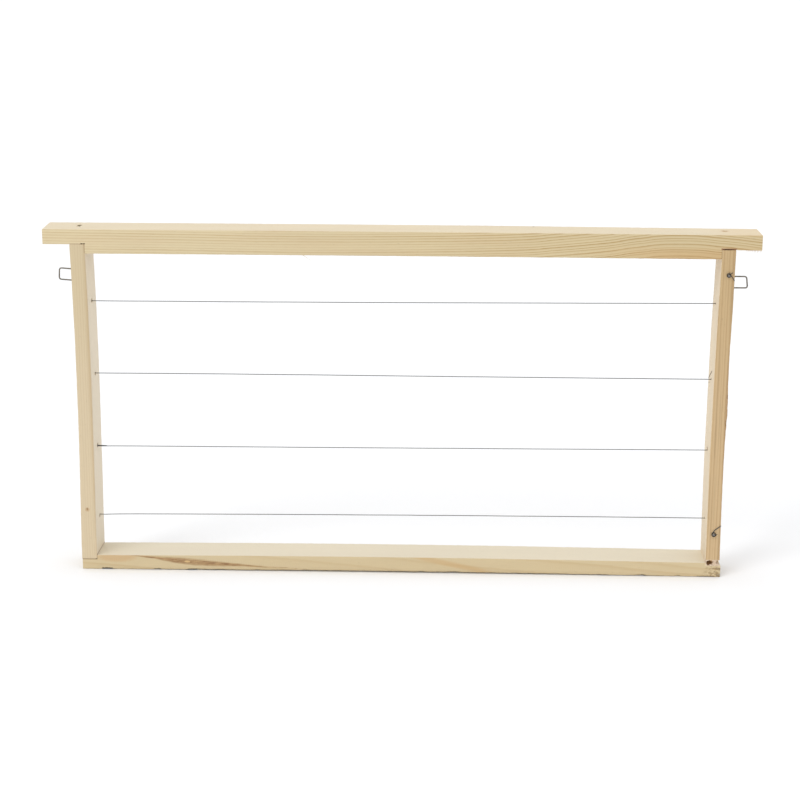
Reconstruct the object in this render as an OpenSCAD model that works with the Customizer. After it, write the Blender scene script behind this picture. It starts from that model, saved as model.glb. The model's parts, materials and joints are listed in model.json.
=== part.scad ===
// Wired Langstroth hive frame: four pine bars nailed into a rectangle, strung with one wire.
// Millimetres. +X runs along the top bar, +Z is up, the face with the tacks looks toward -Y.
// The origin is the middle of the underside of the bottom bar.

/* [Frame] */
// Width over the outer faces of the two side bars
body_w = 448; // [440:1:456]
// Overall length of the top bar, lug end to lug end
top_len = 482.6; // [474:0.2:490]
// Overall height, from under the bottom bar to the top of the top bar
frame_h = 243; // [238:1:260]
// Depth of every bar from front to back
bar_d = 27; // [24:1:30]

/* [Top bar] */
// Thickness of the top bar between the side bars
top_t = 16.7; // [15:0.1:22]
// How far the top bar was nailed off centre, to the left
top_off = 0.6; // [0:0.1:1]
// Thickness of the lugs, which rest on the rabbet of the hive
lug_t = 10.3; // [9:0.1:12]
// Depth of the housing sunk in each lug for the head of the side bar
housing = 0.4; // [0.3:0.1:0.8]

/* [Side bars] */
// Thickness of the side bars
side_t = 10.4; // [9:0.1:13]
// Diameter of the holes that the wire passes through
wire_hole_d = 3; // [2.5:0.1:4]
// Height of the lowest wire hole of the left side bar above the underside
hole_first = 35.4; // [34:0.1:40]
// Spacing from one wire hole of the left side bar to the next
hole_pitch = 51.9; // [50:0.1:53]

/* [Bottom bar] */
// Thickness of the bottom bar
bottom_t = 10.5; // [10:0.1:14]
// Depth of the step cut in each end for the foot of the side bar
foot_step = 2.9; // [2:0.1:4]
// How far each end stays back from the outer face of the side bar
end_back = 0; // [0:0.1:1.5]

/* [Wire] */
// Diameter of the frame wire
wire_d = 0.5; // [0.4:0.05:0.7]
// Distance of the wire's centre from the wood that it lies against
wire_off = 0.35; // [0.35:0.05:0.6]
// Segments in one turn of wire round a tack
turn_steps = 12; // [10:1:16]

/* [Tacks] */
// Head diameter of the tacks that hold the wire's ends
tack_head_d = 2.6; // [2.2:0.1:3.5]
// Thickness of a tack's head
tack_head_t = 0.5; // [0.4:0.1:0.8]
// Shank diameter of the tacks
tack_d = 1.1; // [0.9:0.1:1.4]
// Length of a tack under its head
tack_len = 11; // [9:0.5:12]
// How far the underside of a tack's head stands off the wood
tack_proud = 1.5; // [1.4:0.1:2]

/* [Spacer staples] */
// Wire diameter of the spacer staples
staple_d = 1; // [0.8:0.1:1.4]
// Distance between the centres of a staple's two legs
staple_w = 7.9; // [7:0.1:9]
// How far a staple stands out of the side bar, over its crown
staple_out = 10; // [8:0.5:12]
// How far the legs go into the side bar
staple_in = 8; // [6:0.5:9]
// Radius of the bends at the crown, on the wire's centre line
staple_bend = 1.5; // [1:0.1:2]
// Tilt of the left staple, its crown upward
left_tilt = 4; // [0:1:5]

/* [Nails] */
// Shank diameter of the nails
nail_d = 1.8; // [1.5:0.1:2.2]
// Head diameter of the nails
nail_head_d = 3.6; // [3.2:0.1:4.2]
// Thickness of a nail's head
nail_head_t = 0.9; // [0.7:0.1:1.2]
// Overall length of a nail
nail_len = 27; // [24:1:28]
// How far the heads are driven below the surface
nail_sunk = 0.4; // [0.2:0.1:1]

/* [Hidden] */

half_w = body_w / 2;
half_d = bar_d / 2;
inner_x = half_w - side_t;
top_left = -top_len / 2 - top_off;
lug_z = frame_h - lug_t;
side_top_z = lug_z + housing;
foot_z = bottom_t - foot_step;
bottom_half = half_w - end_back;
gap = 0.05;
round_fn = 32;

// top nails stand a little behind the middle, over the side bars
left_nail_x = -half_w + 4.7;
right_nail_x = half_w - 6.6;
top_nail_y = 2.4;
bottom_nail_x = half_w - 5.5;
bottom_nail_y = 6.5;

// tacks: x, z on the front edge of the right side bar
upper_tack = [half_w - 4.8, 215];
lower_tack = [half_w - 6, 31.6];
upper_turn_r = 1.5;
lower_turn_r = 1.3;
wire_bend = 0.35;
wire_sides = 8;

right_staple_z = 208;
left_staple_z = 208.9;

// heights of the wire holes, lowest first: those of the right side bar were drilled higher
left_hole_z = [for (i = [0:3]) hole_first + i * hole_pitch];
right_hole_z = left_hole_z + [3.2, 2.5, 1, 2];
// heights of the wire in its holes: it rides on the edge that it is pulled to
left_wire_z = left_hole_z + [1.2, -0.35, 0.4, -0.35];
right_wire_z = right_hole_z + [0.45, -0.9, -0.45, -0.05];
run_x = half_w + wire_off;
run_y = -half_d - wire_off;

// turns round a tack from angle a0 to a1, moving from y0 to y1 along its shank
function turns(c, r, a0, a1, y0, y1) =
    let (n = ceil(abs(a1 - a0) / 360 * turn_steps))
    [for (i = [0:n]) let (a = a0 + (a1 - a0) * i / n)
        [c[0] + r * cos(a), y0 + (y1 - y0) * i / n, c[1] + r * sin(a)]];

function unit(v) = v / norm(v);

// the three points that round off a corner of the wire
function corner(a, b, c) =
    let (u = unit(b - a), w = unit(c - b), r = wire_bend)
    [b - u * r, b + (w - u) * r * 0.3, b + w * r];

// every corner of a path rounded off, its two ends kept
function rounded(p) =
    [for (i = [1:len(p) - 2]) each corner(p[i - 1], p[i], p[i + 1])];

// one continuous route: upper tack, over the edge, across and back through the holes,
// over the edge again and round the lower tack
tail_up = [upper_tack[0] + 2.5, run_y - 0.8, upper_tack[1] + 1.96];
tail_low = [lower_tack[0] + 2.5, run_y - 0.8, lower_tack[1] - 0.1];
turn_up = turns(upper_tack, upper_turn_r, 100, 610, run_y - 0.75, run_y);
turn_low = turns(lower_tack, lower_turn_r, 160, 660, run_y, run_y - 0.75);
corners = concat(
    [turn_up[len(turn_up) - 1], [run_x, run_y, 212.1]],
    [for (k = [1, 0]) each [
        [run_x, 0, right_wire_z[2 * k + 1]], [-run_x, 0, left_wire_z[2 * k + 1]],
        [-run_x, 0, left_wire_z[2 * k]], [run_x, 0, right_wire_z[2 * k]]]],
    [[run_x, run_y, 38], [lower_tack[0] + 0.6, run_y, lower_tack[1] + 3.1], turn_low[0]]);
wire_route = concat([tail_up], turn_up, rounded(corners), turn_low, [tail_low]);

// direction of the wire at each point of the route, and a normal carried along it
wire_dir = [for (i = [0:len(wire_route) - 1])
    let (a = max(i - 1, 0), b = min(i + 1, len(wire_route) - 1), p = wire_route[i])
    unit((a < i ? unit(p - wire_route[a]) : [0, 0, 0])
        + (b > i ? unit(wire_route[b] - p) : [0, 0, 0]))];
function across(n, t) = unit(n - t * (n * t));
wire_norm = [for (i = 0, n = across([0, 1, 0], wire_dir[0]); i < len(wire_route);
    i = i + 1, n = i < len(wire_route) ? across(n, wire_dir[i]) : n) n];

// round wire of diameter d swept along a route
module swept(route, dirs, norms, d) {
    n = len(route);
    rings = [for (i = [0:n - 1]) let (u = norms[i], v = cross(dirs[i], u))
        for (k = [0:wire_sides - 1]) let (a = 360 * k / wire_sides)
            route[i] + (u * cos(a) + v * sin(a)) * d / 2];
    walls = [for (i = [0:n - 2]) for (k = [0:wire_sides - 1])
        let (a = i * wire_sides + k, b = i * wire_sides + (k + 1) % wire_sides)
            each [[a, a + wire_sides, b + wire_sides], [a, b + wire_sides, b]]];
    ends = [[for (k = [0:wire_sides - 1]) k],
        [for (k = [wire_sides - 1:-1:0]) (n - 1) * wire_sides + k]];
    polyhedron(rings, concat(walls, ends), convexity = 10);
}

// nail standing on its point along +Z, the top of its head at z = 0
module nail_shape(d, head_d, head_t, len) {
    rotate_extrude($fn = round_fn)
        polygon([[0, 0], [head_d / 2 - 0.2, 0], [head_d / 2, -0.25], [head_d / 2, -head_t],
            [d / 2, -head_t], [d / 2, -len + 2.5], [0, -len]]);
}

// the hole that a nail leaves: head recess and shank hole
module nail_hole(len) {
    translate([0, 0, -nail_sunk - nail_head_t - gap])
        cylinder(h = nail_sunk + nail_head_t + gap + 1, d = nail_head_d + 2 * gap,
            $fn = round_fn);
    translate([0, 0, -len - nail_sunk])
        cylinder(h = len, d = nail_d + 2 * gap, $fn = round_fn);
}

module at_top_nail(x) {
    translate([x, top_nail_y, frame_h]) children();
}

module at_bottom_nail(x, y) {
    translate([x, y, 0]) mirror([0, 0, 1]) children();
}

// tack pointing along +Y, the wood's surface at y = 0
module tack_shape() {
    rotate([90, 0, 0])
        rotate_extrude($fn = round_fn)
            polygon([[0, tack_proud + tack_head_t],
                [tack_head_d / 2 - 0.3, tack_proud + tack_head_t],
                [tack_head_d / 2, tack_proud + tack_head_t - 0.2],
                [tack_head_d / 2, tack_proud], [tack_d / 2, tack_proud],
                [tack_d / 2, tack_proud - tack_len + 2], [0, tack_proud - tack_len]]);
}

module at_tack(c) {
    translate([c[0], -half_d, c[1]]) children();
}

module tack_hole() {
    translate([0, -1, 0])
        rotate([-90, 0, 0])
            cylinder(h = tack_len - tack_proud + 1, d = tack_d + 2 * gap, $fn = round_fn);
}

// staple with its crown toward +X and the wood's surface at x = 0
module staple_shape() {
    crown_x = staple_out - staple_d / 2;
    for (s = [-1, 1])
        translate([-staple_in, 0, s * staple_w / 2])
            rotate([0, 90, 0])
                cylinder(h = staple_in + crown_x - staple_bend, d = staple_d, $fn = round_fn);
    translate([crown_x, 0, -staple_w / 2 + staple_bend])
        cylinder(h = staple_w - 2 * staple_bend, d = staple_d, $fn = round_fn);
    for (s = [0, 1])
        mirror([0, 0, s])
            translate([crown_x - staple_bend, 0, staple_w / 2 - staple_bend])
                rotate([90, 0, 0])
                    rotate_extrude(angle = 90, $fn = 4 * round_fn)
                        translate([staple_bend, 0])
                            circle(d = staple_d, $fn = round_fn);
}

module staple_holes() {
    for (s = [-1, 1])
        translate([-staple_in - gap, 0, s * staple_w / 2])
            rotate([0, 90, 0])
                cylinder(h = staple_in + 2, d = staple_d + 2 * gap, $fn = round_fn);
}

module at_right_staple() {
    translate([half_w, 0, right_staple_z]) children();
}

module at_left_staple() {
    translate([-half_w, 0, left_staple_z]) rotate([0, left_tilt, 0]) mirror([1, 0, 0]) children();
}

// plain side bar standing on the bottom bar's steps, drilled for the wire
module side_blank(s) {
    difference() {
        translate([s > 0 ? inner_x : -half_w, -half_d, foot_z])
            cube([side_t, bar_d, side_top_z - foot_z]);
        for (z = s > 0 ? right_hole_z : left_hole_z)
            translate([s * (half_w + 1), 0, z])
                rotate([0, -s * 90, 0])
                    cylinder(h = side_t + 2, d = wire_hole_d, $fn = round_fn);
    }
}

module top_bar() {
    color([0.82, 0.70, 0.52])
        difference() {
            translate([top_left, -half_d, frame_h - top_t])
                cube([top_len, bar_d, top_t]);
            for (s = [-1, 1]) {
                // step under the lug
                translate([s > 0 ? inner_x : top_left - 1, -half_d - 1, frame_h - top_t - 1])
                    cube([(s > 0 ? top_left + top_len : -top_left) - inner_x + 1, bar_d + 2,
                        top_t - lug_t + 1]);
                // housing for the head of the side bar
                translate([s > 0 ? inner_x : -half_w, -half_d - 1, lug_z - 1])
                    cube([side_t, bar_d + 2, housing + 1]);
            }
            at_top_nail(left_nail_x) nail_hole(nail_len);
            at_top_nail(right_nail_x) nail_hole(nail_len);
        }
}

module bottom_bar() {
    color([0.82, 0.68, 0.48])
        difference() {
            translate([-bottom_half, -half_d, 0]) cube([2 * bottom_half, bar_d, bottom_t]);
            for (s = [-1, 1])
                translate([s > 0 ? inner_x : -half_w - 1, -half_d - 1, foot_z])
                    cube([side_t + 1, bar_d + 2, foot_step + 1]);
            for (s = [-1, 1])
                for (t = [-1, 1])
                    at_bottom_nail(s * bottom_nail_x, t * bottom_nail_y) nail_hole(nail_len);
        }
}

module left_side_bar() {
    color([0.82, 0.68, 0.54])
        difference() {
            side_blank(-1);
            at_top_nail(left_nail_x) nail_hole(nail_len);
            for (t = [-1, 1])
                at_bottom_nail(-bottom_nail_x, t * bottom_nail_y) nail_hole(nail_len);
            at_left_staple() staple_holes();
        }
}

module right_side_bar() {
    color([0.66, 0.46, 0.28])
        difference() {
            side_blank(1);
            at_top_nail(right_nail_x) nail_hole(nail_len);
            for (t = [-1, 1])
                at_bottom_nail(bottom_nail_x, t * bottom_nail_y) nail_hole(nail_len);
            at_right_staple() staple_holes();
            at_tack(upper_tack) tack_hole();
            at_tack(lower_tack) tack_hole();
        }
}

module frame_wire() {
    color([0.45, 0.45, 0.44]) swept(wire_route, wire_dir, wire_norm, wire_d);
}

module upper_wire_tack() { color([0.5, 0.48, 0.45]) at_tack(upper_tack) tack_shape(); }
module lower_wire_tack() { color([0.5, 0.48, 0.45]) at_tack(lower_tack) tack_shape(); }
module left_spacer_staple() { color([0.5, 0.5, 0.5]) at_left_staple() staple_shape(); }
module right_spacer_staple() { color([0.5, 0.5, 0.5]) at_right_staple() staple_shape(); }

module nail() {
    color([0.4, 0.38, 0.36])
        translate([0, 0, -nail_sunk]) nail_shape(nail_d, nail_head_d, nail_head_t, nail_len);
}

module left_top_nail() { at_top_nail(left_nail_x) nail(); }
module right_top_nail() { at_top_nail(right_nail_x) nail(); }
module left_bottom_nail_front() { at_bottom_nail(-bottom_nail_x, -bottom_nail_y) nail(); }
module left_bottom_nail_rear() { at_bottom_nail(-bottom_nail_x, bottom_nail_y) nail(); }
module right_bottom_nail_front() { at_bottom_nail(bottom_nail_x, -bottom_nail_y) nail(); }
module right_bottom_nail_rear() { at_bottom_nail(bottom_nail_x, bottom_nail_y) nail(); }

top_bar();
bottom_bar();
left_side_bar();
right_side_bar();
frame_wire();
upper_wire_tack();
lower_wire_tack();
left_spacer_staple();
right_spacer_staple();
left_top_nail();
right_top_nail();
left_bottom_nail_front();
left_bottom_nail_rear();
right_bottom_nail_front();
right_bottom_nail_rear();
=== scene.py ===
import json
import math

import bmesh
import bpy
from mathutils import Matrix, Vector, noise


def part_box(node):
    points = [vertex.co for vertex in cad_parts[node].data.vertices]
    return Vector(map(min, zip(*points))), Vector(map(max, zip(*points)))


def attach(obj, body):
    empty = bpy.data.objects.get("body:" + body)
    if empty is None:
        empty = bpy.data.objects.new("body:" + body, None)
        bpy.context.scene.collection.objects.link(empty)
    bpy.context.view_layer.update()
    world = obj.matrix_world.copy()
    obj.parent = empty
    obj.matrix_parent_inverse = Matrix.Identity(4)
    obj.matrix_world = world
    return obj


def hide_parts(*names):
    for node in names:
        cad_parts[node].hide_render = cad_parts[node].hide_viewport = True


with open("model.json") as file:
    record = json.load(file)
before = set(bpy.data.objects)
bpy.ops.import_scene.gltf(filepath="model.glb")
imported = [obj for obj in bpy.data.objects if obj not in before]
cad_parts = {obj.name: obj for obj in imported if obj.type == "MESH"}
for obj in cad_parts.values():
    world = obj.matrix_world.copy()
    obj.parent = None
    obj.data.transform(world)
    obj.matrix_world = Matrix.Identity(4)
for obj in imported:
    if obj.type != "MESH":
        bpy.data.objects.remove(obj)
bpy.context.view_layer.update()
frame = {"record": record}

# ---- sizes, in millimetres
MM_PER_M = 1000
M_PER_MM = 0.001


def mm_box(node):
    """A CAD node's lowest and highest corners."""
    lo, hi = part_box(node)
    return lo * MM_PER_M, hi * MM_PER_M


def node_centre(node):
    lo, hi = mm_box(node)
    return (lo + hi) / 2


TOP_LO, TOP_HI = mm_box("top_bar")
BOT_LO, BOT_HI = mm_box("bottom_bar")
LEFT_LO, LEFT_HI = mm_box("left_side_bar")
RIGHT_LO, RIGHT_HI = mm_box("right_side_bar")
MOUNTS = {m["name"]: [MM_PER_M * v for v in m["pos_m"]] for m in frame["record"]["mounts"]}

FRONT, BACK = TOP_LO.y, TOP_HI.y
DEPTH = BACK - FRONT
HALF_W = RIGHT_HI.x
INNER = RIGHT_LO.x
LUG_Z = MOUNTS["left_lug_rest"][2]
FOOT_Z = LEFT_LO.z
HEAD_Z = LEFT_HI.z

# A side is -1 for the left and 1 for the right.
# height of the bottom bar's seat under each side bar, and place of the top bar's shoulder
SEAT_Z = {-1: FOOT_Z, 1: FOOT_Z + 0.7}
SHOULDER = {-1: INNER, 1: INNER + 0.45}
# height and radius of each wire hole, and the height of the wire in it
HOLES = {
    -1: [(35.4, 1.4), (87.3, 1.6), (139.1, 1.4), (191.1, 1.6)],
    1: [(39.1, 0.9), (89.9, 1.5), (139.9, 0.9), (193.1, 0.7)],
}
WIRE_Z = {-1: [36.65, 86.95, 139.6, 190.75], 1: [39.05, 88.9, 139.75, 193.05]}
ARRIS = 0.3  # the bars' rounded arrises


# ---- camera
LENS, SENSOR = 84.76, 36.0
PITCH, ROLL, YAW = 0.2715, -0.0043, 0.0249
CAMERA_PLACE = (0.03031, -1.25638, 0.47238)


def make_camera():
    data = bpy.data.cameras.new("camera")
    data.sensor_width, data.lens = SENSOR, LENS
    data.clip_start, data.clip_end = 0.05, 20.0
    turn = (
        Matrix.Rotation(YAW, 3, "Z")
        @ Matrix.Rotation(-PITCH, 3, "X")
        @ Matrix.Rotation(ROLL, 3, "Y")
    )
    right, ahead, up = turn.col[0], turn.col[1], turn.col[2]
    m = Matrix.Identity(4)
    for i in range(3):
        m[i][0], m[i][1], m[i][2] = right[i], up[i], -ahead[i]
    m.translation = Vector(CAMERA_PLACE)
    cam = bpy.data.objects.new("camera", data)
    cam.matrix_world = m
    bpy.context.scene.collection.objects.link(cam)
    bpy.context.scene.camera = cam


# ---- node helper
class Nodes:
    """Short names for building a material's node tree."""

    def __init__(self, name):
        self.mat = bpy.data.materials.new(name)
        self.mat.use_nodes = True
        self.t = self.mat.node_tree
        self.t.nodes.clear()
        self.out = self.t.nodes.new("ShaderNodeOutputMaterial")
        self.bsdf = self.t.nodes.new("ShaderNodeBsdfPrincipled")
        self.t.links.new(self.bsdf.outputs[0], self.out.inputs[0])

    def put(self, socket, value):
        """Links a socket to this one or sets its value. One number fills a whole vector."""
        if isinstance(value, bpy.types.NodeSocket):
            self.t.links.new(value, socket)
            return
        if hasattr(socket.default_value, "__len__"):
            size = len(socket.default_value)
            value = list(value) if hasattr(value, "__len__") else [value] * size
            value += [1.0] * (size - len(value))
        socket.default_value = value

    def math(self, op, a, b=None, clamp=False):
        n = self.t.nodes.new("ShaderNodeMath")
        n.operation, n.use_clamp = op, clamp
        self.put(n.inputs[0], a)
        if b is not None:
            self.put(n.inputs[1], b)
        return n.outputs[0]

    def abs(self, a):
        return self.math("ABSOLUTE", a)

    def add(self, a, b):
        return self.math("ADD", a, b)

    def sub(self, a, b):
        return self.math("SUBTRACT", a, b)

    def mul(self, a, b):
        return self.math("MULTIPLY", a, b)

    def vec(self, op, a, b=None):
        n = self.t.nodes.new("ShaderNodeVectorMath")
        n.operation = op
        self.put(n.inputs[0], a)
        if b is not None:
            self.put(n.inputs[1], b)
        return n.outputs["Value" if op in ("LENGTH", "DOT_PRODUCT") else "Vector"]

    def xyz(self, v):
        n = self.t.nodes.new("ShaderNodeSeparateXYZ")
        self.put(n.inputs[0], v)
        return n.outputs[0], n.outputs[1], n.outputs[2]

    def join(self, x, y, z):
        n = self.t.nodes.new("ShaderNodeCombineXYZ")
        for i, v in enumerate((x, y, z)):
            self.put(n.inputs[i], v)
        return n.outputs[0]

    def place(self):
        """The place on the object, in millimetres."""
        n = self.t.nodes.new("ShaderNodeTexCoord")
        return self.vec("MULTIPLY", n.outputs["Object"], [MM_PER_M] * 3)

    def normal(self):
        n = self.t.nodes.new("ShaderNodeTexCoord")
        return n.outputs["Normal"]

    def noise(self, v, scale=1.0, detail=2.0, rough=0.5, warp=0.0, one_d=False):
        n = self.t.nodes.new("ShaderNodeTexNoise")
        if one_d:
            n.noise_dimensions = "1D"
            self.put(n.inputs["W"], v)
        else:
            self.put(n.inputs["Vector"], v)
        n.inputs["Scale"].default_value = scale
        n.inputs["Detail"].default_value = detail
        n.inputs["Roughness"].default_value = rough
        n.inputs["Distortion"].default_value = warp
        return n.outputs[0]

    def grain(self, v, scales, *look):
        """Noise drawn out by a scale along each axis."""
        return self.noise(self.vec("MULTIPLY", v, scales), *look)

    def ramp(self, v, stops):
        """Straight lines through (v, grey) stops."""
        n = self.t.nodes.new("ShaderNodeValToRGB")
        elements = n.color_ramp.elements
        while len(elements) < len(stops):
            elements.new(0.5)
        for element, (place, grey) in zip(elements, stops):
            element.position = place
            element.color = (grey, grey, grey, 1)
        self.put(n.inputs[0], v)
        return n.outputs[0]

    def step(self, v, lo, hi, a=0.0, b=1.0):
        """Smoothly from a to b as v goes from lo to hi."""
        n = self.t.nodes.new("ShaderNodeMapRange")
        n.interpolation_type = "SMOOTHSTEP"
        for i, x in enumerate((v, lo, hi, a, b)):
            self.put(n.inputs[i], x)
        return n.outputs[0]

    def mix(self, fac, a, b):
        """Colour a, turning to b as fac goes from 0 to 1."""
        n = self.t.nodes.new("ShaderNodeMix")
        n.data_type = "RGBA"
        self.put(n.inputs[0], fac)
        self.put(n.inputs[6], a)
        self.put(n.inputs[7], b)
        return n.outputs[2]

    def paint(self, colour, mask, strength, rgb):
        """Paints an srgb colour over another where the mask is 1."""
        return self.mix(self.mul(mask, strength), colour, srgb(*rgb))

    def tint(self, colour, factor):
        """A colour times a factor for each of red, green and blue."""
        return self.vec("MULTIPLY", colour, factor)

    def scale(self, colour, factor):
        """A colour times one factor."""
        n = self.t.nodes.new("ShaderNodeVectorMath")
        n.operation = "SCALE"
        self.put(n.inputs[0], colour)
        self.put(n.inputs["Scale"], factor)
        return n.outputs[0]

    def curve(self, v, lo, hi, points, out_lo, out_hi):
        """A smooth function through (v, value) points."""
        n = self.t.nodes.new("ShaderNodeFloatCurve")
        c = n.mapping.curves[0]
        while len(c.points) < len(points):
            c.points.new(0.5, 0.5)
        for p, (x, y) in zip(c.points, points):
            p.location = ((x - lo) / (hi - lo), (y - out_lo) / (out_hi - out_lo))
            p.handle_type = "AUTO_CLAMPED"
        n.mapping.update()
        self.put(n.inputs["Value"], self.math("DIVIDE", self.sub(v, lo), hi - lo, clamp=True))
        return self.add(self.mul(n.outputs[0], out_hi - out_lo), out_lo)

    def bump(self, height, distance, base=None):
        n = self.t.nodes.new("ShaderNodeBump")
        n.inputs["Strength"].default_value = 0.6
        n.inputs["Distance"].default_value = distance
        self.put(n.inputs["Height"], height)
        if base is not None:
            self.put(n.inputs["Normal"], base)
        return n.outputs[0]


def srgb(r, g, b):
    """A colour given as 0..255 display values, made linear."""
    return tuple(
        c / 12.92 if c <= 0.04045 else ((c + 0.055) / 1.055) ** 2.4
        for c in (r / 255, g / 255, b / 255)
    )


# ---- wood
WOOD_RELIEF = 0.00004  # metres
PATCH = 0.3


def stretched(axis, along, across=1.0):
    """Scales for a pattern drawn out along an axis."""
    v = [across, across, across]
    v[axis] = along
    return v


def late_rings(g, p, axis, rings, period):
    """Growth rings: each is a pale early part that ends in a narrow late line, which is 1."""
    wander = g.grain(p, stretched(axis, 0.007, 0.05), 1.0, 2.0, 0.5)
    field = g.add(rings(g, p), g.mul(g.sub(wander, 0.5), 1.3))
    uneven = g.noise(g.mul(field, 0.3), 1.0, 1.0, 0.5, one_d=True)
    phase = g.add(g.math("DIVIDE", field, period), g.mul(uneven, 0.9))
    fine_place = g.vec("MULTIPLY", p, stretched(axis, 0.05))
    ragged = g.noise(fine_place, 2.4, 2.0, 0.6)
    phase = g.add(phase, g.mul(g.sub(ragged, 0.5), 0.2))
    late = g.ramp(
        g.math("FRACT", phase),
        [(0.0, 0.3), (0.07, 0.0), (0.4, 0.03), (0.68, 0.25), (0.86, 1.0), (0.95, 0.95), (1.0, 0.3)],
    )
    each = g.noise(g.mul(g.math("FLOOR", phase), 3.7), 1.0, 0.0, 0.5, one_d=True)
    late = g.mul(late, g.step(each, 0.3, 0.62, 0.45, 1.0))
    return g.mul(late, g.add(0.6, g.mul(g.noise(fine_place, 0.7, 3.0, 0.6), 0.7)))


def wood(name, axis, rings, light, late, contrast, period, patch_tint=None, streaks=0.0, faces=(),
         stains=None, relief=None, vary=None):
    """Pine, with axis as the direction of its fibres.

    rings gives the distance from the pith in millimetres, and period is the width of a ring.
    faces lists (direction, colour factor, strength of the rings there) for faces with painted
    light, paler and with fainter rings where more light falls. vary gives the strength of the rings
    from place to place.
    """
    g = Nodes(name)
    p = g.place()
    normal = g.normal()
    late_wood = late_rings(g, p, axis, rings, period)

    # fibres, fine hairs, the dark dashes of resin canals, and broad uneven patches
    fibre = g.grain(p, stretched(axis, 0.05), 3.4, 4.0, 0.65)
    hair = g.grain(p, stretched(axis, 0.02), 7.0, 2.0, 0.6)
    canal = g.grain(p, stretched(axis, 0.1), 2.4, 1.0, 0.4)
    canal = g.step(canal, 0.72, 0.8)
    broad_place = g.vec("MULTIPLY", p, stretched(axis, 0.009, 0.06))
    broad = g.noise(g.vec("ADD", broad_place, (3.1, 7.7, 1.3)), 1.1, 2.0, 0.5)

    # painted light: the listed faces get fainter rings and a paler, greyer colour
    toward = [g.step(g.vec("DOT_PRODUCT", normal, face[0]), 0.6, 0.9) for face in faces]
    ring_strength = g.mul(vary(g, p), contrast) if vary else contrast
    for there, (_, _, strength) in zip(toward, faces):
        ring_strength = g.mul(ring_strength, g.add(1.0, g.mul(there, strength - 1)))
    colour = g.mix(g.mul(late_wood, ring_strength), light, late)
    if patch_tint:
        patches = g.grain(p, stretched(axis, 0.02, 0.12), 1.0, 3.0, 0.55)
        colour = g.mix(g.mul(g.step(patches, 0.42, 0.72), PATCH), colour, patch_tint)

    tone = g.add(1.0, g.mul(g.sub(fibre, 0.5), 0.12))
    tone = g.add(tone, g.mul(g.sub(hair, 0.5), 0.09))
    tone = g.add(tone, g.mul(g.sub(broad, 0.5), 0.1))
    tone = g.sub(tone, g.mul(canal, 0.16))
    if streaks:
        streak = g.grain(p, stretched(axis, 0.012, 0.55), 1.3, 3.0, 0.6, 0.3)
        tone = g.sub(tone, g.mul(g.step(streak, 0.5, 0.72), streaks))
    colour = g.scale(colour, tone)
    # painted light on the listed faces: paler, greyer colour
    for there, (_, factor, _) in zip(toward, faces):
        colour = g.mix(there, colour, g.tint(colour, factor))
    colour = stains(g, p, colour)

    # sawn ends are darker and show their pores
    end = g.step(g.abs(g.xyz(normal)[axis]), 0.6, 0.85)
    pore = g.noise(p, 5.5, 2.0, 0.6)
    darker = g.mul(end, g.add(0.14, g.mul(g.sub(pore, 0.5), 0.3)))
    g.put(g.bsdf.inputs["Base Color"], g.scale(colour, g.sub(1.0, darker)))

    rough = g.add(0.58, g.mul(g.sub(fibre, 0.5), 0.3))
    g.put(g.bsdf.inputs["Roughness"], g.sub(rough, g.mul(late_wood, 0.1)))
    g.bsdf.inputs["Specular IOR Level"].default_value = 0.4
    g.bsdf.inputs["Sheen Weight"].default_value = 0.12
    g.bsdf.inputs["Sheen Roughness"].default_value = 0.45
    g.bsdf.inputs["Sheen Tint"].default_value = (1.0, 0.97, 0.93, 1)

    height = g.add(g.mul(fibre, 0.5), g.add(g.mul(hair, 0.35), g.mul(late_wood, 0.35)))
    height = g.sub(height, g.mul(canal, 0.6))
    height = g.sub(height, g.mul(g.mul(end, pore), 0.8))
    bumped = g.bump(height, WOOD_RELIEF)
    if relief:
        bumped = g.bump(relief(g, p), WOOD_RELIEF, bumped)
    g.put(g.bsdf.inputs["Normal"], bumped)
    return g.mat


# ---- meshes
def link(name, mesh, mat, node):
    """Adds a piece that stands for a CAD node."""
    obj = bpy.data.objects.new(name, mesh)
    bpy.context.scene.collection.objects.link(obj)
    mesh.materials.append(mat)
    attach(obj, "root")
    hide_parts(node)
    return obj


def prism(outline):
    """A bar of the frame's depth, with this outline in X and Z."""
    bm = bmesh.new()
    front = [bm.verts.new((x, FRONT, z)) for x, z in outline]
    back = [bm.verts.new((x, BACK, z)) for x, z in outline]
    bm.faces.new(front)
    bm.faces.new(back[::-1])
    n = len(outline)
    for i in range(n):
        bm.faces.new((front[i], back[i], back[(i + 1) % n], front[(i + 1) % n]))
    bmesh.ops.recalc_face_normals(bm, faces=bm.faces)
    return bm


def ease(bm):
    """Rounds the outside arrises a little."""
    edges = [e for e in bm.edges if e.is_convex and e.calc_face_angle(0) > 0.5]
    bmesh.ops.bevel(bm, geom=edges, offset=ARRIS, segments=2, profile=0.6, affect="EDGES")


def dice(bm, lo, hi, pitches):
    """Cuts the mesh by even planes across each axis in turn, for pitches of (axis, pitch)."""
    for axis, pitch in pitches:
        normal = Vector((0, 0, 0))
        normal[axis] = 1
        n = max(1, round((hi[axis] - lo[axis]) / pitch))
        for i in range(1, n):
            bmesh.ops.bisect_plane(
                bm,
                geom=bm.verts[:] + bm.edges[:] + bm.faces[:],
                dist=1e-5,
                plane_co=normal * (lo[axis] + (hi[axis] - lo[axis]) * i / n),
                plane_no=normal,
            )


def drill(p, q, r, sides=28):
    """A cutter from p to q of radius r."""
    bm = bmesh.new()
    p, q = Vector(p), Vector(q)
    turn = (q - p).to_track_quat("Z", "Y").to_matrix().to_4x4()
    bmesh.ops.create_cone(
        bm, cap_ends=True, segments=sides, radius1=r, radius2=r, depth=(q - p).length,
        matrix=Matrix.Translation((p + q) / 2) @ turn,
    )
    return bm


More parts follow.
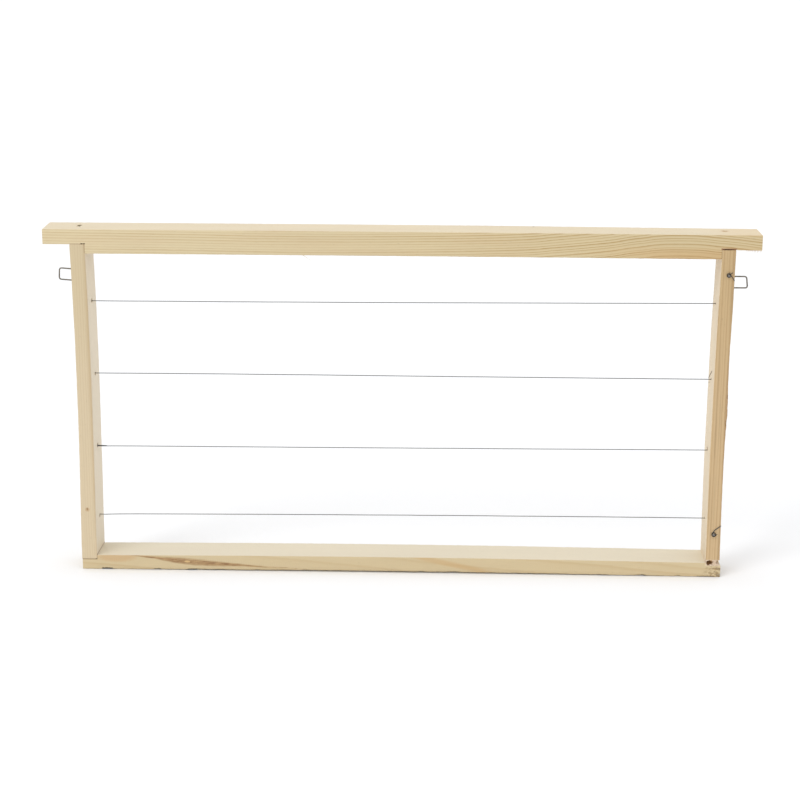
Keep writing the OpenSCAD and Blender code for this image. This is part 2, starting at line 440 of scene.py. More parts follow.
def rough_lump(centre, size, seed, level, ragged):
    """A broken-wood shape for knocking chips out of an edge."""
    bm = bmesh.new()
    bmesh.ops.create_icosphere(bm, subdivisions=level, radius=1.0)
    for v in bm.verts:
        d = v.co.normalized()
        w = noise.noise(d * 2.2 + Vector((seed, seed * 1.7, seed * 0.3)))
        w += 0.5 * noise.noise(d * 2.2 * 2.6 + Vector((seed * 2.1, 0, seed)))
        v.co = [c + a * b * (1 + ragged * w) for c, a, b in zip(centre, d, size)]
    return bm


# points closer than TINY are merged, and a cut has failed where it changes the box of the
# solid by more than MOST_GROWTH
TINY = 1e-4
TRIES = 8
NUDGE = (0.013, 0.017, -0.011)
MOST_GROWTH = 0.5


def to_mesh(bm, name):
    mesh = bpy.data.meshes.new(name)
    bm.to_mesh(mesh)
    bm.free()
    return mesh


def minus(bm, cutters):
    """bm with the cutters taken out, as a new mesh."""
    shapes = [bm, *cutters]
    objs = [bpy.data.objects.new("shape", bpy.data.meshes.new("shape")) for _ in shapes]
    for obj, shape in zip(objs, shapes):
        shape.to_mesh(obj.data)
        bpy.context.scene.collection.objects.link(obj)
    for tool in objs[1:]:
        m = objs[0].modifiers.new("cut", "BOOLEAN")
        m.operation, m.solver, m.object = "DIFFERENCE", "EXACT", tool
    out = bmesh.new()
    out.from_mesh(objs[0].evaluated_get(bpy.context.evaluated_depsgraph_get()).to_mesh())
    for obj in objs:
        mesh = obj.data
        bpy.data.objects.remove(obj)
        bpy.data.meshes.remove(mesh)
    bmesh.ops.remove_doubles(out, verts=out.verts, dist=TINY)
    bmesh.ops.holes_fill(out, edges=[e for e in out.edges if e.is_boundary], sides=6)
    return out


def reach(bm):
    """The lowest and highest place of any point."""
    return [f(v.co[a] for v in bm.verts) for f in (min, max) for a in range(3)]


def cut(bm, cutters):
    """Takes the cutters out of bm. Where that fails it is done again in smaller groups,
    and a cutter that fails on its own is nudged."""
    for _ in range(TRIES):
        out = minus(bm, cutters)
        removed = bm.calc_volume() - out.calc_volume()
        growth = max(abs(a - b) for a, b in zip(reach(bm), reach(out)))
        if growth < MOST_GROWTH and 0 < removed < sum(c.calc_volume() for c in cutters):
            bm.free()
            return out
        out.free()
        if len(cutters) > 1:
            half = len(cutters) // 2
            return cut(cut(bm, cutters[:half]), cutters[half:])
        bmesh.ops.translate(cutters[0], verts=cutters[0].verts, vec=NUDGE)
    return bm


def prepare(bm, move):
    """Moves every point by move(co) and cleans the mesh."""
    bmesh.ops.dissolve_degenerate(bm, dist=TINY, edges=bm.edges)
    bmesh.ops.triangulate(bm, faces=[f for f in bm.faces if len(f.verts) > 4])
    if move:
        for v in bm.verts:
            v.co = move(v.co)
    bmesh.ops.recalc_face_normals(bm, faces=bm.faces)
    return bm


def shaded(bm, name, sharp=35):
    """Turns millimetres into metres and shades smooth between sharp edges."""
    for v in bm.verts:
        v.co *= M_PER_MM
    mesh = to_mesh(bm, name)
    for p in mesh.polygons:
        p.use_smooth = True
    mesh.set_sharp_from_angle(angle=math.radians(sharp))
    return mesh


def waver(x, seed, scale):
    """Smooth noise from -1 to 1 along one number."""
    return noise.noise(Vector((x / scale, seed * 7.31, seed * 1.93)))


WEAR = 0.12
WORN_ARRIS = 0.8  # how far in from an arris the wood is worn


def worn(co, lo, hi, seed, along):
    """Slight unevenness of a sawn and planed bar: low waves on the faces and uneven arrises."""
    step = Vector((0, 0, 0))
    mid, half = (lo + hi) / 2, (hi - lo) / 2
    across = [a for a in range(3) if a != along]
    long_waves = Vector([c / (34 if a == along else 9) for a, c in enumerate(co)])
    for a in across:
        s = (co[a] - mid[a]) / half[a]
        if abs(s) > 0.9:
            wave = noise.noise(long_waves + Vector((seed, a * 3.3, 0)))
            step[a] -= math.copysign(WEAR * 0.5 * (1 + wave), s)
    near = [half[a] - abs(co[a] - mid[a]) for a in across]
    edge = max(near)
    if edge < WORN_ARRIS:
        bite = 0.5 + 0.5 * noise.noise(Vector((co[along] / 3.1, seed * 2.2, sum(near) + seed)))
        bite *= bite * 0.28 * (1 - edge / WORN_ARRIS)
        for a in across:
            step[a] -= math.copysign(bite, co[a] - mid[a])
    return co + step


# ---- grain and stains
# painted black contact shadow in the chips along the lower front arris: middle, half length,
# height, strength
CHIP_SHADOWS = [(-206.6, 3.8, 0.9, 0.9), (-171, 2.4, 0.8, 0.6), (-146.5, 3.4, 0.8, 0.9),
         (-133, 5.5, 0.5, 0.6), (-100.5, 1.4, 0.6, 0.6), (-68, 5.5, 0.5, 0.65),
         (17, 2.0, 0.6, 0.6), (34, 5.0, 0.7, 0.8), (102, 4.0, 0.5, 0.5), (142, 4.0, 0.6, 0.5),
         (170.5, 1.6, 0.9, 0.8), (214, 6.0, 0.5, 0.6), (222.6, 1.6, 2.2, 0.45)]
# torn grain beside the third wire hole of the right side bar: (y, z) to (y, z)
TEARS = [((13.3, 136.7), (-2.4, 146.4)), ((12.6, 134.2), (4.0, 136.6))]
# a pin-hole in the top face of the top bar, and a pin knot low on the front of the left bar
PIN_HOLE = (89, 10.5, TOP_HI.z)
PIN_KNOT = (-219.1, FRONT, 44.6)
# how far below their curves the knot wood and the ochre streak on the bottom bar are drawn
STREAK_DROP = 0.45


def top_rings(g, p):
    """The pith lies far below the top bar, and the grain swings up over the right third."""
    x, y, z = g.xyz(p)
    rise = g.curve(
        x, -241, 241,
        [(-241, 1.0), (-160, 0.4), (-81, -0.6), (0, 0.2), (81, 2.4), (102, 4.2), (138, 7.8),
         (161, 11.2), (186, 13.0), (212, 11.6), (241, 8.6)],
        -2, 14,
    )
    above_pith = g.add(g.sub(g.sub(z, TOP_HI.z), rise), 70.0)
    return g.vec("LENGTH", g.join(g.sub(y, 4.0), above_pith, 0.0))


def top_vary(g, p):
    """The rings of the top bar are fainter on the left."""
    return g.step(g.xyz(p)[0], -60, 150, 0.56, 1.0)


def bottom_rings(g, p):
    """Nearly flat rings that cross the bottom bar at a slant."""
    x, y, z = g.xyz(p)
    return g.add(g.add(g.mul(y, 0.55), g.mul(x, 0.028)), g.mul(z, 0.32))


def left_rings(g, p):
    """The pith runs up outside the left side bar, behind its back face."""
    x, y, z = g.xyz(p)
    return g.vec("LENGTH", g.join(g.add(x, 262.0), g.sub(y, 30.0), g.mul(z, 0.01)))


def right_rings(g, p):
    """The pith runs up outside the right side bar, behind its back face."""
    x, y, z = g.xyz(p)
    return g.vec("LENGTH", g.join(g.sub(x, 262.0), g.sub(y, 22.0), g.mul(z, -0.012)))


def spot(g, p, centre, size):
    """1 inside a soft-edged, slightly uneven ellipsoid, 0 outside."""
    q = g.vec("DIVIDE", g.vec("SUBTRACT", p, centre), size)
    uneven = g.mul(g.sub(g.noise(p, 0.9, 3.0, 0.6), 0.5), 0.5)
    return g.step(g.add(g.vec("LENGTH", q), uneven), 1.1, 0.55)


def on_front(g):
    """1 on the faces that look to the front."""
    return g.step(g.xyz(g.normal())[1], -0.3, -0.75)


def between(g, v, lo, hi, soft):
    """1 where v lies from lo to hi, with edges this soft."""
    return g.mul(g.step(v, lo - soft, lo + soft), g.step(v, hi + soft, hi - soft))


def top_stains(g, p, colour):
    x, _, z = g.xyz(p)
    # the wood turns more tan toward the right, most of all low on the front
    aside = g.step(g.xyz(g.normal())[2], 0.9, 0.5)
    rightward = g.mul(g.step(x, -240, 240), aside)
    colour = g.mix(rightward, colour, g.tint(colour, (0.9, 0.87, 0.8)))
    low = g.mul(g.step(x, 110, 190), g.step(z, 237, 229))
    colour = g.mix(low, colour, g.tint(colour, (0.95, 0.84, 0.72)))
    # the right end of the top face is warmer
    warm = g.mul(g.step(x, 196, 232), g.step(z, 241, 243))
    colour = g.mix(g.mul(warm, 0.7), colour, g.tint(colour, (0.98, 0.9, 0.78)))
    # dirt in the open joint over the right side bar
    seam = g.mul(g.step(x, INNER - 0.4, INNER + 0.2), g.step(x, HALF_W + 0.2, HALF_W - 0.4))
    seam = g.mul(seam, g.step(z, HEAD_Z + 0.8, HEAD_Z + 0.3))
    seam = g.mul(seam, g.step(z, HEAD_Z - 0.7, HEAD_Z - 0.3))
    colour = g.paint(colour, seam, 0.75, (136, 72, 38))
    # rust and resin round the right nail, and a pin-hole nearer the middle
    nail_place = node_centre("right_top_nail")
    rust = spot(g, p, (nail_place.x, nail_place.y, TOP_HI.z), (3.6, 4.2, 3.0))
    colour = g.paint(colour, rust, 0.36, (196, 150, 96))
    pin = spot(g, p, PIN_HOLE, (0.8, 1.2, 1.0))
    return g.paint(colour, pin, 0.8, (120, 90, 60))


def knot_streak(g, p, colour, front):
    """A dark streak of knot wood that slopes down to the right, with a pale knot in it."""
    x, _, height = g.xyz(p)
    wobble = g.grain(p, (0.05, 0.3, 0.4), 1.0, 4.0, 0.65)
    place = g.add(g.add(height, STREAK_DROP), g.mul(g.sub(wobble, 0.5), 2.0))
    middle = g.curve(
        x, -224, -60,
        [(-224, 12.0), (-200, 11.6), (-180, 10.3), (-166, 8.6), (-150, 7.0), (-130, 5.6),
         (-110, 4.6), (-93, 3.7), (-60, 2.6)],
        0, 14,
    )
    width = g.curve(
        x, -224, -60,
        [(-224, 0.0), (-206, 0.1), (-180, 0.5), (-165, 1.3), (-148, 2.2), (-130, 1.9),
         (-117, 1.2), (-104, 0.5), (-88, 0.2), (-60, 0.0)],
        0, 3,
    )
    width = g.math("MAXIMUM", width, 0.02)
    off = g.math("DIVIDE", g.abs(g.sub(place, middle)), width)
    fine = g.grain(p, (0.1, 1.0, 2.4), 1.5, 4.0, 0.65)
    mask = g.mul(g.step(off, 1.35, 0.3), front)
    colour = g.paint(colour, mask, 0.75, (176, 138, 92))
    dark = g.mul(mask, g.step(fine, 0.43, 0.58))
    colour = g.paint(colour, dark, 0.85, (124, 86, 50))
    knot = spot(g, p, (-150, FRONT, 6.5), (2.4, 5.0, 0.8))
    return g.paint(colour, knot, 0.85, (218, 186, 132))


def bottom_stains(g, p, colour):
    x, _, height = g.xyz(p)
    front = on_front(g)
    colour = knot_streak(g, p, colour, front)
    # an orange patch at the left end, an ochre streak right of the middle
    orange = g.mul(spot(g, p, (-200, FRONT, 9.5), (16, 9, 4.5)), front)
    colour = g.paint(colour, orange, 0.4, (196, 150, 98))
    slope = g.sub(12.0, g.mul(g.sub(x, 15.0), 0.22))
    band = g.abs(g.sub(g.add(height, STREAK_DROP), slope))
    band = g.mul(g.step(band, 3.0, 0.6), between(g, x, 9, 63, 7))
    colour = g.paint(colour, g.mul(band, front), 0.45, (196, 158, 104))
    # grime and painted contact shadow along the lower front arris, with painted black shadow in a
    # few chips
    grime_shade_noise = g.grain(p, (0.16, 0.4, 0.4), 1.0, 3.0, 0.6)
    top = g.step(grime_shade_noise, 0.46, 0.7)
    grime_and_shade = g.mul(g.step(g.sub(top, height), -0.3, 0.4), front)
    colour = g.paint(colour, grime_and_shade, 0.4, (112, 92, 68))
    ragged = g.mul(g.sub(g.noise(p, 0.8, 3.0, 0.6), 0.5), 1.3)
    # painted black contact shadow in the listed chips
    for middle, half, tall, black in CHIP_SHADOWS:
        along = g.step(g.abs(g.sub(x, middle)), half + 0.5, half - 0.6)
        mark = g.mul(along, g.step(g.add(height, ragged), tall + 0.7, tall + 0.1))
        colour = g.paint(colour, mark, black, (52, 40, 28))
    # mottling and a torn line on the rough right end, under a painted highlight along the seat's
    # edge
    speck = g.grain(p, (0.5, 1.0, 0.9), 0.8, 3.0, 0.6)
    at_end = g.mul(g.step(x, 210, 218), g.step(height, SEAT_Z[1] - 0.6, SEAT_Z[1] - 1.4))
    colour = g.paint(colour, g.mul(g.step(speck, 0.45, 0.62), at_end), 0.6, (132, 96, 48))
    torn = g.mul(g.step(x, 220.4, 221.4), g.step(g.abs(g.sub(height, 6.1)), 0.7, 0.3))
    colour = g.paint(colour, g.mul(torn, front), 0.7, (104, 72, 40))
    # painted highlight along the edge of the seat
    seat_highlight = g.mul(g.step(x, 212.5, 214), g.step(height, SEAT_Z[1] - 0.5, SEAT_Z[1]))
    colour = g.paint(colour, seat_highlight, 0.6, (232, 212, 174))
    # dirt in the joint with the left side bar
    seam = g.step(height, FOOT_Z - 0.6, FOOT_Z - 0.2)
    seam = g.mul(g.step(x, -INNER + 0.4, -INNER - 0.1), seam)
    return g.paint(colour, seam, 0.6, (120, 84, 50))


def on_line(g, p, start, end, width):
    """1 near a line drawn on a side bar's inner face from start to end, given as (y, z)."""
    x, y, z = g.xyz(p)
    length = math.dist(start, end)
    dy, dz = (end[0] - start[0]) / length, (end[1] - start[1]) / length
    y, z = g.sub(y, start[0]), g.sub(z, start[1])
    along = g.add(g.mul(y, dy), g.mul(z, dz))
    off = g.abs(g.sub(g.mul(y, dz), g.mul(z, dy)))
    near = g.mul(between(g, along, 0, length, 0.4), g.step(off, width, width * 0.4))
    return g.mul(near, g.step(x, INNER + 1.4, INNER + 0.8))


def joint_dirt(g, p, colour, strength):
    """A thin brown line where a side bar meets the top and bottom bars."""
    z = g.xyz(p)[2]
    foot, head = g.step(z, FOOT_Z + 0.6, FOOT_Z + 0.1), g.step(z, HEAD_Z - 0.9, HEAD_Z - 0.3)
    return g.paint(colour, g.math("MAXIMUM", foot, head), strength, (110, 68, 36))


def darker_top(g, p, colour):
    """The front of a side bar is a little darker toward the top bar."""
    fac = g.mul(on_front(g), g.step(g.xyz(p)[2], 110, 225))
    return g.mix(fac, colour, g.tint(colour, (0.93, 0.93, 0.89)))


def left_stains(g, p, colour):
    x, y, z = g.xyz(p)
    # a pin knot with a halo, and an ochre line along the inner arris
    halo = spot(g, p, (PIN_KNOT[0], FRONT, PIN_KNOT[2] - 0.4), (1.9, 3, 1.8))
    colour = g.paint(colour, halo, 0.45, (180, 140, 92))
    knot = spot(g, p, PIN_KNOT, (0.7, 3, 1.2))
    colour = g.paint(colour, knot, 0.65, (138, 98, 56))
    line = g.mul(g.step(x, -215.2, -214.2), g.step(y, FRONT + 2, FRONT + 0.4))
    line = g.mul(line, g.step(z, 60, 12, 0.22, 0.12))
    colour = g.mix(line, colour, srgb(168, 132, 82))
    # the dark joint with the top face of the bottom bar
    inside = g.step(g.xyz(g.normal())[0], 0.5, 0.8)
    low = g.step(z, BOT_HI.z + 1.0, BOT_HI.z + 0.35)
    colour = g.paint(colour, g.mul(inside, low), 0.7, (128, 92, 54))
    # the joint beside the shoulder of the top bar
    beside = g.step(x, -INNER - 0.7, -INNER - 0.2)
    beside = g.mul(beside, g.step(z, TOP_LO.z - 0.2, TOP_LO.z + 0.4))
    colour = g.paint(colour, beside, 0.5, (140, 104, 64))
    return joint_dirt(g, p, darker_top(g, p, colour), 0.42)


def right_stains(g, p, colour):
    x, y, z = g.xyz(p)
    # dark brown along the outer front arris, where the wood is torn
    edge = g.mul(g.step(x, 220.5, 223.5), g.step(y, -8, -12))
    torn = g.curve(
        z, 0, 240, [(0, 0.4), (60, 0.35), (95, 0.9), (140, 0.9), (165, 0.3), (240, 0.3)], 0, 1
    )
    colour = g.paint(colour, g.mul(edge, torn), 0.7, (146, 106, 66))
    # raw wood in the break at the foot, and the dark hole beside it with a painted glint
    raw = g.mul(g.step(z, 13.1, 12.3), g.step(y, -4, -9))
    colour = g.paint(colour, raw, 0.8, (232, 213, 192))
    hole = g.mul(spot(g, p, (215.8, -12.0, 10.8), (3.4, 4.0, 2.9)), g.step(y, FRONT, FRONT + 0.5))
    colour = g.paint(colour, hole, 0.95, (112, 72, 18))
    glint = g.mul(spot(g, p, (217.4, -11.6, 11.9), (1.2, 2.4, 1.0)), hole)
    colour = g.paint(colour, glint, 0.8, (206, 158, 84))
    # brown torn grain round the third wire hole
    for (start, end), depth in zip(TEARS, (0.9, 0.4)):
        colour = g.paint(colour, on_line(g, p, start, end, 0.8), depth, (120, 92, 56))
    return joint_dirt(g, p, darker_top(g, p, colour), 0.85)


def planer_marks(g, p):
    """Marks of the planer's knives across the bottom bar, 1.55 mm apart."""
    wave = g.math("SINE", g.mul(g.xyz(p)[0], 2 * math.pi / 1.55))
    return g.mul(wave, g.grain(p, (0.02, 0.2, 0.2), 1.0, 1.0, 0.5))


# ---- small departures from straight
def through(points, v):
    """A smooth curve through (place, value) points, flat beyond its ends."""
    if v <= points[0][0]:
        return points[0][1]
    if v >= points[-1][0]:
        return points[-1][1]
    i = max(k for k in range(len(points) - 1) if points[k][0] <= v)
    (x0, y0), (x1, y1) = points[i], points[i + 1]

    def slope(k):
        if k <= 0 or k >= len(points) - 1:
            return 0.0
        return (points[k + 1][1] - points[k - 1][1]) / (points[k + 1][0] - points[k - 1][0])

    t, w = (v - x0) / (x1 - x0), x1 - x0
    return (
        (2 * t**3 - 3 * t**2 + 1) * y0
        + (t**3 - 2 * t**2 + t) * w * slope(i)
        + (3 * t**2 - 2 * t**3) * y1
        + (t**3 - t**2) * w * slope(i + 1)
    )


# how far each face of the two side bars leans in: (height, distance)
LEAN = {
    (-1, "outer"): [(9, 0.05), (19, 0.05), (43, 0.45), (67, 0.85), (92, 1.22), (116, 1.4),
                    (140, 1.48), (165, 1.45), (189, 1.2), (213, 0.85), (233, 0.45)],
    (-1, "inner"): [(9, 0.45), (29, 0.5), (60, 0.85), (90, 1.1), (121, 1.35), (152, 1.4),
                    (183, 1.2), (213, 0.8), (227, 0.55)],
    (1, "outer"): [(9, 0.75), (19, 0.9), (43, 1.2), (67, 1.45), (92, 1.5), (116, 1.3), (140, 1.35),
                   (165, 1.25), (189, 0.75), (213, 0.6), (233, 0.5)],
    (1, "inner"): [(9, 0.3), (29, 0.5), (60, 0.8), (90, 1.0), (121, 0.85), (152, 0.7),
                   (183, 0.35), (213, -0.15), (227, -0.4)],
}


# how much further in the back of each side bar stands than its front
TWIST = {-1: 0.75, 1: 0.15}
# how far the bottom bar arches up, and how far the top bar's ends and back right corner drop
ARCH = 1.2
DROOP = 0.3
BACK_DROP = 0.45


def lean(side, face, z):
    return through(LEAN[side, face], z)


def outer_x(side, z):
    return side * (HALF_W - lean(side, "outer", z))


def inner_x(side, z):
    return side * (INNER - lean(side, "inner", z))


# ---- pieces
def add_fibre(bm, points):
    """A torn fibre standing off the wood, tapering to nothing."""
    add_tube(bm, points, lambda t: 0.2 * (1 - 0.85 * t), 6)


def skin(bm, rings):
    """Faces from each ring of points to the next. A ring may be a single point."""
    for a, b in zip(rings, rings[1:]):
        n = max(len(a), len(b))
        for k in range(n):
            j = (k + 1) % n
            if len(a) == 1:
                bm.faces.new((a[0], b[k], b[j]))
            elif len(b) == 1:
                bm.faces.new((a[k], a[j], b[0]))
            else:
                bm.faces.new((a[k], a[j], b[j], b[k]))


def add_tube(bm, points, radius, sides):
    """A closed round tube along points. radius is a number or a function of 0..1 along it."""
    points = [Vector(p) for p in points]
    angles = [2 * math.pi * k / sides for k in range(sides)]
    last = len(points) - 1
    rings = []
    normal = None
    for i, p in enumerate(points):
        ahead = (points[min(i + 1, last)] - points[max(i - 1, 0)]).normalized()
        if normal is None:
            normal = ahead.orthogonal().normalized()
        normal = (normal - ahead * normal.dot(ahead)).normalized()
        side = ahead.cross(normal)
        r = radius(i / last) if callable(radius) else radius
        rings.append(
            [bm.verts.new(p + (normal * math.cos(a) + side * math.sin(a)) * r) for a in angles]
        )
    skin(bm, rings)
    bm.faces.new(rings[0][::-1])
    bm.faces.new(rings[-1])


def rounded_path(points, radius, steps):
    """The points with each corner turned into a short arc."""
    pts = [Vector(p) for p in points]
    out = [pts[0]]
    for a, b, c in zip(pts, pts[1:], pts[2:]):
        u, w = b - a, c - b
        r = min(radius, u.length * 0.45, w.length * 0.45)
        u.normalize()
        w.normalize()
        start, end = b - u * r, b + w * r
        for k in range(steps + 1):
            t = k / steps
            out.append(start * (1 - t) ** 2 + b * 2 * t * (1 - t) + end * t**2)
    out.append(pts[-1])
    return out


def top_bar(mat):
    lo, hi = TOP_LO, TOP_HI
    outline = [
        (lo.x, LUG_Z), (-HALF_W, LUG_Z), (-HALF_W, HEAD_Z), (-SHOULDER[-1], HEAD_Z),
        (-SHOULDER[-1], lo.z), (SHOULDER[1], lo.z), (SHOULDER[1], HEAD_Z), (HALF_W, HEAD_Z),
        (HALF_W, LUG_Z), (hi.x, LUG_Z),
        (hi.x, hi.z), (lo.x, hi.z),
    ]
    bm = prism(outline)
    ease(bm)
    # a sunk hole over each nail, with a dent in front of it
    cutters = []
    for name, depth, dent in (("left_top_nail", 1.35, 3.2), ("right_top_nail", 0.5, 0.6)):
        c = node_centre(name)
        cutters.append(drill((c.x, c.y, hi.z + 1), (c.x, c.y, hi.z - depth), 1.85))
        place = (c.x, c.y - 1.6 - dent / 2, hi.z + 0.1)
        cutters.append(rough_lump(place, (1.3, dent, 0.7), 5, 3, 0.25))
    x, y, z = PIN_HOLE
    cutters.append(drill((x, y, z + 1), (x, y, z - 2), 0.45, 12))
    # open joints over the heads of the side bars: middle, half length, height
    gaps = [(-215.6, 0.8, 0.35), (-213.9, 0.9, 0.35), (217.4, 2.8, 0.3), (221.0, 2.0, 0.35)]
    for x, half, high in gaps:
        cutters.append(rough_lump((x, FRONT, HEAD_Z + 0.1), (half, 2.2, high), x, 3, 0.3))
    bm = cut(bm, cutters)
    dice(bm, lo, hi, [(1, 1.6), (2, 1.6), (0, 1.8)])

    def move(co):
        out = worn(co, lo, hi, 1, 0)
        out.z += DROOP * math.cos(math.pi * co.x / (hi.x - lo.x)) - DROOP
        out.z -= BACK_DROP * max(0.0, (co.x - 60) / (hi.x - 60)) * (co.y - FRONT) / DEPTH
        return out

    bm = prepare(bm, move)
    # torn fibres at the lower front arris and under the right lug
    z = lo.z
    add_fibre(bm, [(-66.6, FRONT + 0.2, z + 0.3), (-64.8, FRONT - 0.4, z - 0.7),
                   (-62.4, FRONT - 0.9, z - 2.2), (-60.4, FRONT - 1.1, z - 3.6)])
    for i in range(11):
        x = hi.x - 0.8 - 0.95 * i + 0.5 * waver(i, 3, 0.7)
        drop = 1.3 + 1.6 * abs(waver(i, 9, 0.61))
        add_fibre(bm, [(x, FRONT + 0.5, LUG_Z + 0.2), (x + 0.2, FRONT + 0.3, LUG_Z - drop * 0.5),
                       (x + 0.8 * waver(i, 5, 0.5), FRONT + 0.1, LUG_Z - drop)])
    return link("pine_top_bar", shaded(bm, "top_bar"), mat, "top_bar")


def bottom_bar(mat):
    lo, hi = BOT_LO, BOT_HI
    outline = [
        (lo.x, lo.z), (hi.x, lo.z), (hi.x, SEAT_Z[1]), (INNER, SEAT_Z[1]), (INNER, hi.z),
        (-INNER, hi.z), (-INNER, SEAT_Z[-1]), (lo.x, SEAT_Z[-1]),
    ]
    bm = prism(outline)
    ease(bm)
    dice(bm, lo, hi, [(1, 1.6), (2, 1.5), (0, 1.8)])
    # chips along the lower front arris: middle, half length, depth, height
    chips = [(-206.5, 3.6, 1.0, 0.9), (-170.5, 2.6, 1.0, 0.9), (-141, 6.0, 1.1, 0.9),
             (-126, 5.0, 0.9, 0.7), (-101, 1.6, 0.8, 0.8), (-66, 3.6, 0.9, 0.8),
             (15.5, 1.8, 0.9, 0.8), (37, 5.0, 1.0, 0.9), (168, 4.0, 1.2, 1.1),
             (194.5, 2.0, 1.2, 1.2), (110, 3.0, 0.7, 0.6)]
    cutters = [
        rough_lump((x, FRONT, 0.0), (half, deep, high), i + 1.3, 3, 0.45)
        for i, (x, half, deep, high) in enumerate(chips)
    ]
    # pits at the right end (x, z, size), and a torn arris over them
    pits = [(218.2, 6.2, 0.55), (220.4, 4.1, 0.7), (221.6, 6.9, 0.5), (219.0, 2.6, 0.45),
            (222.3, 2.9, 0.6), (217.4, 7.6, 0.4), (221.0, 8.0, 0.5), (223.2, 5.4, 0.7)]
    cutters += [
        rough_lump((x, FRONT, z), (r * 1.3, 0.7, r), i + 20.7, 2, 0.3)
        for i, (x, z, r) in enumerate(pits)
    ]
    torn = (219, FRONT - 0.2, SEAT_Z[1] + 0.2)
    cutters.append(rough_lump(torn, (4.6, 1.0, 0.45), 41.2, 3, 0.5))
    bm = cut(bm, cutters)

    def move(co):
        out = worn(co, lo, hi, 2, 0)
        arch = max(0.0, math.cos(math.pi * co.x / (2 * HALF_W)))
        out.z += (ARCH + 0.1 * co.z / hi.z) * arch
        return out

    bm = prepare(bm, move)
    return link("pine_bottom_bar", shaded(bm, "bottom_bar"), mat, "bottom_bar")


def side_bar(mat, side, name, node, chips, grooves=()):
    """chips lists (x, y, z, size) to knock out, and grooves (start, end, radius) on the
    inner face."""
    lo, hi = (LEFT_LO, LEFT_HI) if side < 0 else (RIGHT_LO, RIGHT_HI)
    foot = SEAT_Z[side]
    bm = prism([(lo.x, foot), (hi.x, foot), (hi.x, hi.z), (lo.x, hi.z)])
    ease(bm)
    dice(bm, lo, hi, [(1, 1.6), (0, 1.7), (2, 1.8)])
    cutters = [
        drill((side * (HALF_W + 2), 0, z), (side * (INNER - 2), 0, z), r) for z, r in HOLES[side]
    ]
    cutters += [
        rough_lump((side * x, y, z), size, i * 3.1 + 2, 3, 0.4)
        for i, (x, y, z, size) in enumerate(chips)
    ]
    cutters += [drill((side * INNER, *p), (side * INNER, *q), r, 10) for p, q, r in grooves]
    bm = cut(bm, cutters)

    def move(co):
        out = worn(co, lo, hi, 3 + side, 2)
        t = (side * co.x - INNER) / (HALF_W - INNER)
        out.x -= side * (lean(side, "inner", co.z) * (1 - t) + lean(side, "outer", co.z) * t)
        out.x -= side * TWIST[side] * co.y / DEPTH
        if side > 0 and co.z > 85:
            # the torn outer front arris bulges
            here = math.exp(-(((co.z - 120) / 18) ** 2)) * t * max(0.0, 1 - (co.y - FRONT) / 9)
            out.x += 0.55 * here * (1 + 0.6 * waver(co.z, 2, 3.3))
            out.y += 0.35 * here * (1 + waver(co.z, 4, 2.1))
        return out

    bm = prepare(bm, move)
    return link(name, shaded(bm, node), mat, node)


# ---- the wire and the steel
WIRE_R = 0.25
# how far the wire's middle stands from the front face and from a side bar's outer face
WIRE_FRONT, WIRE_SIDE = 0.22, 0.02
SPAN_STEPS, RUN_STEPS = 120, 12
# the small waves of each hand-strung span, for t from 0 at the left bar to 1 at the right
WAVES = [
    lambda t: (
        0.5 * math.sin(math.pi * t) - 0.6 * math.exp(-t * 38) - 0.15 * math.exp(-(1 - t) * 20)
    ),
    lambda t: -0.15 * math.sin(math.pi * t) - 0.35 * math.exp(-t * 60),
    lambda t: 0.3 * math.sin(math.pi * min(1, t * 1.6)) * (1 - t),
    lambda t: -0.45 * math.sin(math.pi * t) * (1 - 0.5 * t),
]
# how far each tack stands from the middle of its CAD node, in X and Z
TACK_SHIFT = {"upper_wire_tack": (0.1, 0.5), "lower_wire_tack": (0.0, 0.2)}


def tack_place(node):
    centre, (right, up) = node_centre(node), TACK_SHIFT[node]
    return centre.x + right, centre.z + up


def coil(centre, r, a0, a1, y0, y1, squash):
    """The wire wound round a tack, from angle a0 to a1 in degrees and from y0 to y1."""
    n = max(8, int(abs(a1 - a0) / 12))
    points = []
    for i in range(n + 1):
        angle = math.radians(a0 + (a1 - a0) * i / n)
        x, z = centre[0] + r * math.cos(angle), centre[1] + r * squash * math.sin(angle)
        points.append((x, y0 + (y1 - y0) * i / n, z))
    return points


def span(i):
    """From the left bar's outer face through a pair of holes to the right bar's."""
    left_z, right_z = WIRE_Z[-1][i], WIRE_Z[1][i]
    left_x, right_x = inner_x(-1, left_z), inner_x(1, right_z)
    points = [(outer_x(-1, left_z) - WIRE_SIDE, 0, left_z), (-HALF_W + 4, 0, left_z)]
    for k in range(1, SPAN_STEPS):
        t = k / SPAN_STEPS
        x = left_x + (right_x - left_x) * t
        z = left_z + (right_z - left_z) * t + WAVES[i](t) + 0.06 * waver(x, i + 9, 14)
        points.append((x, 0.12 * waver(x, i, 60), z))
    return points + [(HALF_W - 4, 0, right_z), (outer_x(1, right_z) + WIRE_SIDE, 0, right_z)]


def outer_run(side, i, j):
    """Along a side bar's outer face from hole i to hole j."""
    z0, z1 = WIRE_Z[side][i], WIRE_Z[side][j]
    points = []
    for k in range(1, RUN_STEPS):
        z = z0 + (z1 - z0) * k / RUN_STEPS
        stand = WIRE_SIDE + 0.12 * math.sin(math.pi * k / RUN_STEPS)
        points.append((outer_x(side, z) + side * stand, 0.25 * waver(k, side + 3, 4), z))
    return points


